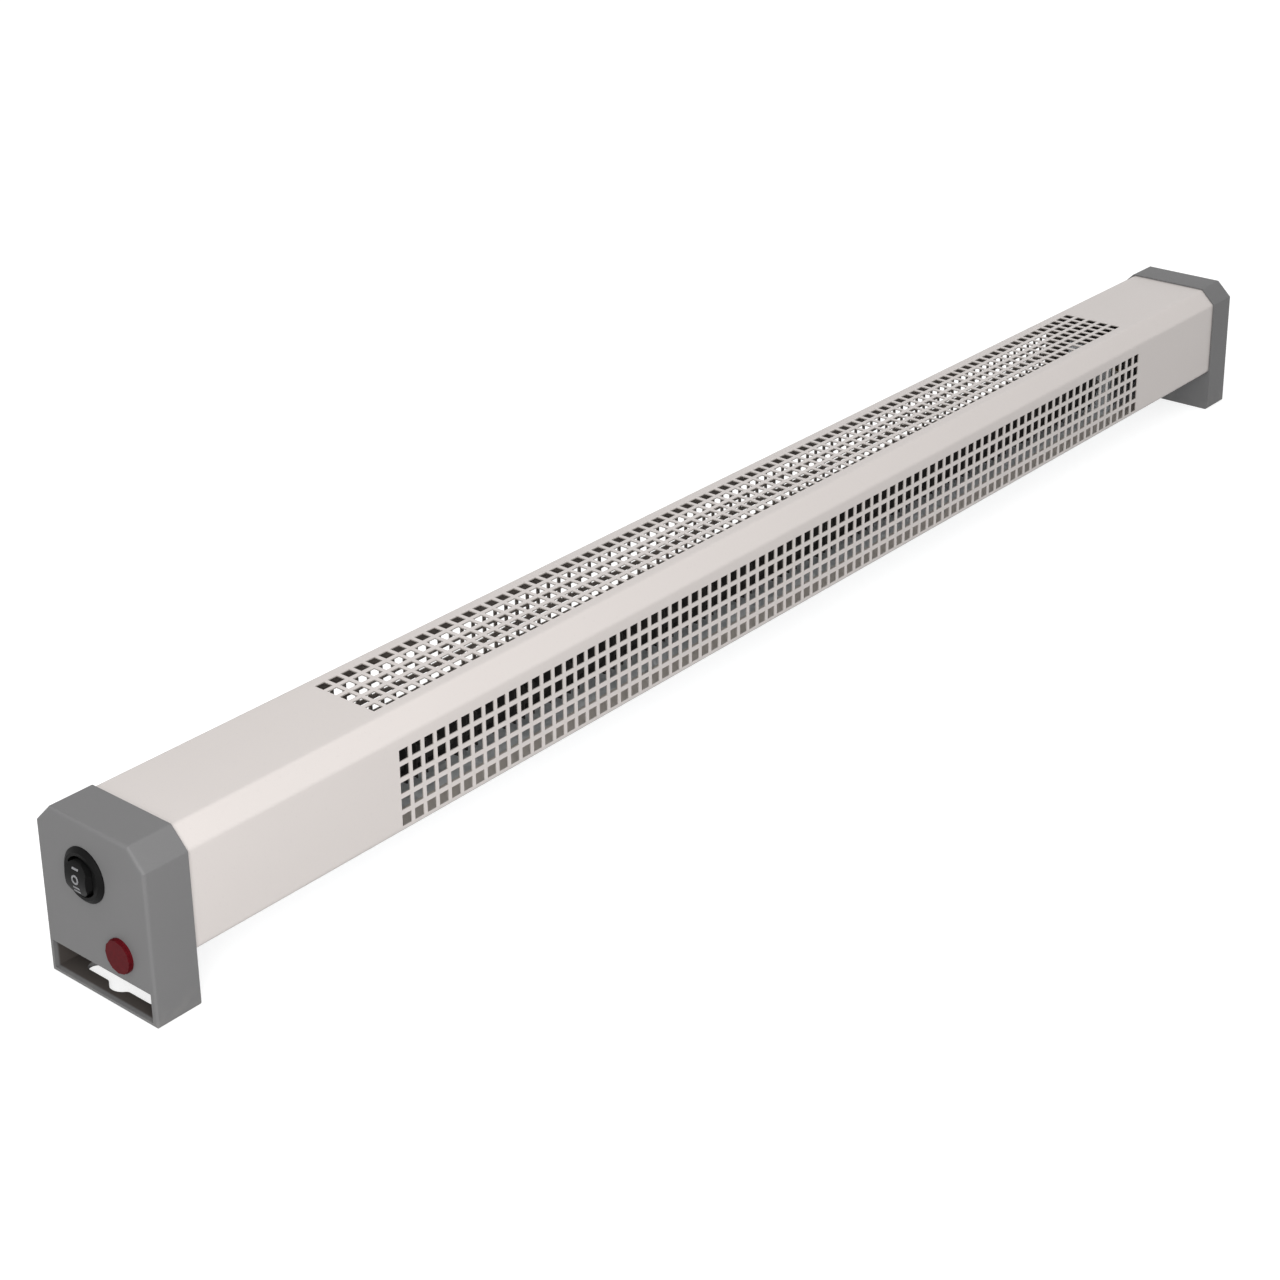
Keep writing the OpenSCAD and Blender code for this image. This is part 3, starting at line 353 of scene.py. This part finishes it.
print_white = Finish("white_print", Specular_IOR_Level=0.3)
worn = print_white.noise(0.0006, 3.0).step(0.42, 0.62)
print_white.colour(print_white.blend(worn, (0.17, 0.17, 0.18), (0.26, 0.26, 0.27)))
print_white.roughness(0.55 + 0.1 * worn)
print_white.wear("rocker_marks")
print("switch: bezel, rocker and marks")

# %% [markdown]
# ## The pilot lamp
#
# The lens is deep red plastic over a small neon bulb, and dull and dark while it is unlit.
# A little transmission, set on the shader's own socket, lets light into it; the moulding's
# faint ripple goes into the bump.

# %% Lamp finishes
RED = (0.088, 0.006, 0.009)
lens = Finish("red_lens", Transmission_Weight=0.05, IOR=1.3, Specular_IOR_Level=0.05)
ripple = lens.noise(0.0015, 2.0)
lens.colour(lens.blend(ripple, mix_of(RED, 0.8), mix_of(RED, 1.3)))
lens.roughness(0.16 + 0.10 * ripple)
lens.relief(ripple, 0.00003)
lens.wear("lamp_lens")

bulb = Finish("lamp_glass", Transmission_Weight=0.9, IOR=1.47)
smoke = bulb.noise(0.002, 2.0)
bulb.colour(bulb.blend(smoke, (0.9, 0.82, 0.74), (0.95, 0.9, 0.85)))
bulb.roughness(0.05 + 0.05 * smoke)
bulb.wear("neon_bulb")
print("pilot lamp: lens and bulb")

# %% [markdown]
# ## Metals
#
# Galvanised sheet shows a spangle: flat crystals a few millimetres wide, each with its
# own grey and its own gloss. Cells give exactly that. The plated screws, the brass and
# the heat-darkened rods are one recipe with other colours: a fine grain, brushed along
# the heater on the rods only, and a tarnish that breaks up the shine.

# %% Galvanised sheet
zinc = Finish("galvanised_steel", Metallic=0.45)
spangle = zinc.cells(0.0045)
bloom = zinc.noise(0.02, 4.0)
tone = zinc.blend(spangle, (0.56, 0.585, 0.60), (0.74, 0.76, 0.77))
zinc.colour(zinc.blend(bloom.step(0.5, 0.8) * 0.3, tone, (0.60, 0.60, 0.585)))
zinc.roughness(0.36 + 0.16 * spangle + 0.1 * bloom)
zinc.relief(spangle * 0.5 + 0.2 * zinc.noise(0.0008, 2.0), 0.00002)
zinc.wear("base_plate", "near_bracket", "far_bracket")
print("galvanised: base plate and brackets")


# %% Brushed and plated metals
def metal(name, dark, light, gloss, brushing, *pieces):
    """A metal with a fine grain that brushing can stretch along the heater, and a cloudy tarnish."""
    finish = Finish(name, Metallic=1.0)
    lines = finish.noise(0.0004, 2.0, 0.6, stretch=brushing)
    tarnish = finish.noise(0.003, 3.0)
    tone = finish.blend(lines, dark, light)
    finish.colour(finish.blend(tarnish.step(0.55, 0.85) * 0.4, tone, mix_of(dark, 0.6)))
    finish.roughness(gloss + 0.15 * lines + 0.12 * tarnish)
    finish.relief(lines, 0.000008)
    finish.wear(*pieces)


EVEN = (1, 1, 1)
LENGTHWISE = (0.08, 1, 1)
metal(
    "zinc_screws", (0.42, 0.43, 0.44), (0.62, 0.63, 0.64), 0.28, EVEN,
    "base_screws", "end_cap_screws", "bracket_screws",
    "cutout_screws", "terminal_screws", "block_screws",
)
metal(
    "bright_steel", (0.5, 0.5, 0.5), (0.68, 0.68, 0.67), 0.24, EVEN,
    "rocker_plunger", "rocker_spring", "lamp_retainer",
)
metal(
    "sheath_steel", (0.13, 0.115, 0.10), (0.27, 0.25, 0.23), 0.42, LENGTHWISE,
    "front_heating_rod", "rear_heating_rod",
)
metal(
    "brass_parts", (0.50, 0.36, 0.15), (0.74, 0.57, 0.29), 0.28, EVEN,
    "switch_terminals", "lamp_terminals", "rod_pins", "rod_link",
    "terminal_clamps", "earth_screw", "earth_nut",
)
print("metals: screws, steel, rods and brass")

# %% [markdown]
# ## Fins, insulators and wires
#
# The fins are dipped in matt black stove paint, which greys a little with heat. The
# insulators are fired white clay and moulded resin. Each wire keeps the plain colour of
# its insulation, with the slight unevenness that drawn plastic has.

# %% Inner finishes
fins = Finish("black_fins", Specular_IOR_Level=0.3)
heat = fins.noise(0.012, 3.0)
fins.colour(fins.blend(heat, (0.014, 0.013, 0.013), (0.034, 0.031, 0.029)))
fins.roughness(0.62 + 0.15 * heat)
fins.relief(fins.noise(0.0005, 2.0), 0.00002)
fins.wear("fin_pack")

clay = Finish("white_insulator", Specular_IOR_Level=0.35)
fired = clay.noise(0.0012, 3.0)
clay.colour(clay.blend(fired, (0.66, 0.64, 0.59), (0.78, 0.76, 0.72)))
clay.roughness(0.55 + 0.15 * fired)
clay.relief(fired, 0.00003)
clay.wear("lamp_holder", "rod_insulators", "terminal_block")


def insulation(name, colour, *pieces):
    """Drawn plastic insulation on a wire."""
    finish = Finish(name, Specular_IOR_Level=0.45)
    drawn = finish.noise(0.0015, 2.0)
    finish.colour(finish.blend(drawn, mix_of(colour, 0.85), mix_of(colour, 1.15)))
    finish.roughness(0.38 + 0.1 * drawn)
    finish.relief(drawn, 0.00001)
    finish.wear(*pieces)


insulation("brown_wire", (0.13, 0.055, 0.025), "supply_wire", "cutout_wire")
insulation("black_wire", (0.016, 0.016, 0.017), "stage_one_wire")
insulation("grey_wire", (0.20, 0.20, 0.21), "stage_two_wire", "lamp_wires")
insulation("blue_wire", (0.02, 0.08, 0.30), "return_wire")
insulation("green_wire", (0.05, 0.24, 0.05), "earth_wire")
print("inside: fins, insulators and wires")

# %% [markdown]
# ## Floor and light
#
# A product like this is shown on white paper. The floor is a wide sheet of nearly white
# material that also glows to the camera, to reflections and through clear parts, so the
# heater keeps a soft, faint shadow under its belly. Behind it, the world is white to the
# same three and dimmer as a lamp, so that the light has a direction. A broad sun overhead
# lights the top evenly. A low, wide lamp near the switch end lights the front and the near cap, and
# fades along the heater, as it does in the picture.

# %% Floor
FLOOR_HALF = 12.0
PAPER_GLOW = 0.74


def looked_at(tree):
    """A socket that is 1 for the camera, for reflections and through clear parts."""
    ray = tree.nodes.new("ShaderNodeLightPath")
    seen = ray.outputs["Is Camera Ray"]
    for kind in ("Is Glossy Ray", "Is Transmission Ray"):
        either = tree.nodes.new("ShaderNodeMath")
        either.operation = "MAXIMUM"
        tree.links.new(seen, either.inputs[0])
        tree.links.new(ray.outputs[kind], either.inputs[1])
        seen = either.outputs[0]
    return seen


floor_mesh = bpy.data.meshes.new("floor")
corners = [(x * FLOOR_HALF, y * FLOOR_HALF, 0) for x, y in ((-1, -1), (1, -1), (1, 1), (-1, 1))]
floor_mesh.from_pydata(corners, [], [(0, 1, 2, 3)])
floor = bpy.data.objects.new("floor", floor_mesh)
bpy.context.scene.collection.objects.link(floor)
floor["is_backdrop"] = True
paper = Finish("paper", Specular_IOR_Level=0.0, Emission_Strength=PAPER_GLOW)
shown = Value(paper, looked_at(paper.tree))
paper.put(paper.shader.inputs["Emission Color"], paper.blend(shown, (0, 0, 0), (1, 1, 1)))
fibre = paper.noise(0.004, 3.0)
paper.colour(paper.blend(fibre, (0.44, 0.44, 0.44), (0.46, 0.46, 0.46)))
paper.roughness(0.9 + 0.05 * fibre)
floor_mesh.materials.append(paper.material)
print("floor:", 2 * FLOOR_HALF, "m square")

# %% World and sun
SKY_LIGHT = 0.40
SUN_LIGHT = 1.26
SUN_SPREAD = math.radians(70)
SUN_FROM = Vector((-0.15, -0.15, 0.97))
LAMP_WATTS = 15.9
LAMP_SIDE = 1.0
LAMP_PLACE = Vector((-1.15, -0.85, 0.55))
LAMP_AIM = Vector((-0.25, 0.0, 0.05))
world = bpy.data.worlds.new("white room")
bpy.context.scene.world = world
world.use_nodes = True
tree = world.node_tree
sky = tree.nodes["Background"]
sky.inputs["Color"].default_value = (1, 1, 1, 1)
level = tree.nodes.new("ShaderNodeMapRange")
level.inputs["To Min"].default_value = SKY_LIGHT
level.inputs["To Max"].default_value = 1.0
tree.links.new(looked_at(tree), level.inputs["Value"])
tree.links.new(level.outputs[0], sky.inputs["Strength"])

sun_data = bpy.data.lights.new("broad sun", "SUN")
sun_data.energy = SUN_LIGHT
sun_data.angle = SUN_SPREAD
sun = bpy.data.objects.new("broad sun", sun_data)
bpy.context.scene.collection.objects.link(sun)
sun.rotation_euler = SUN_FROM.to_track_quat("Z", "Y").to_euler()

lamp_data = bpy.data.lights.new("window lamp", "AREA")
lamp_data.energy = LAMP_WATTS
lamp_data.size = LAMP_SIDE
lamp = bpy.data.objects.new("window lamp", lamp_data)
bpy.context.scene.collection.objects.link(lamp)
lamp.location = LAMP_PLACE
lamp.rotation_euler = (LAMP_PLACE - LAMP_AIM).to_track_quat("Z", "Y").to_euler()
print("light: sky", SKY_LIGHT, "sun", SUN_LIGHT, "lamp", LAMP_WATTS)

# %% [markdown]
# ## The camera
#
# The picture was taken from in front of the switch end, above the heater, with the far
# end running away to the upper right. The camera's heading, pitch and place were worked
# out from the caps' corners. The lens is shifted only a little, which steadies the upright
# edges.

# %% Camera
FOCAL_PX = 2467.11
CENTRE_Y_PX = 400.0
IMAGE_PX = 1280.0
HEADING = math.radians(49.691)
PITCH = math.radians(20.940)
ROLL = math.radians(0.788)
PLACE = Vector((-0.882506, -0.668013, 0.541957))

forward = Vector((
    math.sin(HEADING) * math.cos(PITCH), math.cos(HEADING) * math.cos(PITCH), -math.sin(PITCH)
))
level_right = Vector((math.cos(HEADING), -math.sin(HEADING), 0))
down = forward.cross(level_right)
right = level_right * math.cos(ROLL) + down * math.sin(ROLL)
down = -level_right * math.sin(ROLL) + down * math.cos(ROLL)
turn = Matrix((right, -down, -forward)).transposed().to_4x4()
camera_data = bpy.data.cameras.new("camera")
camera_data.sensor_width = 36
camera_data.lens = FOCAL_PX / IMAGE_PX * camera_data.sensor_width
camera_data.shift_y = (CENTRE_Y_PX - IMAGE_PX / 2) / IMAGE_PX
camera_data.clip_start = 0.01
camera = bpy.data.objects.new("camera", camera_data)
bpy.context.scene.collection.objects.link(camera)
camera.matrix_world = Matrix.Translation(PLACE) @ turn
bpy.context.scene.camera = camera
print("lens:", round(camera_data.lens, 1), "mm, shift", round(camera_data.shift_y, 3))

# %% [markdown]
# ## Finish
#
# The view transform stays plain, so a colour comes out about as it is written. The size
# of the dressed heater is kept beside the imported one, to show that nothing grew.

# %% View and size
bpy.context.scene.view_settings.view_transform = "Standard"
sizes = [[list(corner) for corner in box] for box in (cad_box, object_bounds())]
print("box before and after, mm:", [[round(1000 * (b - a), 1) for a, b in zip(*box)] for box in sizes])
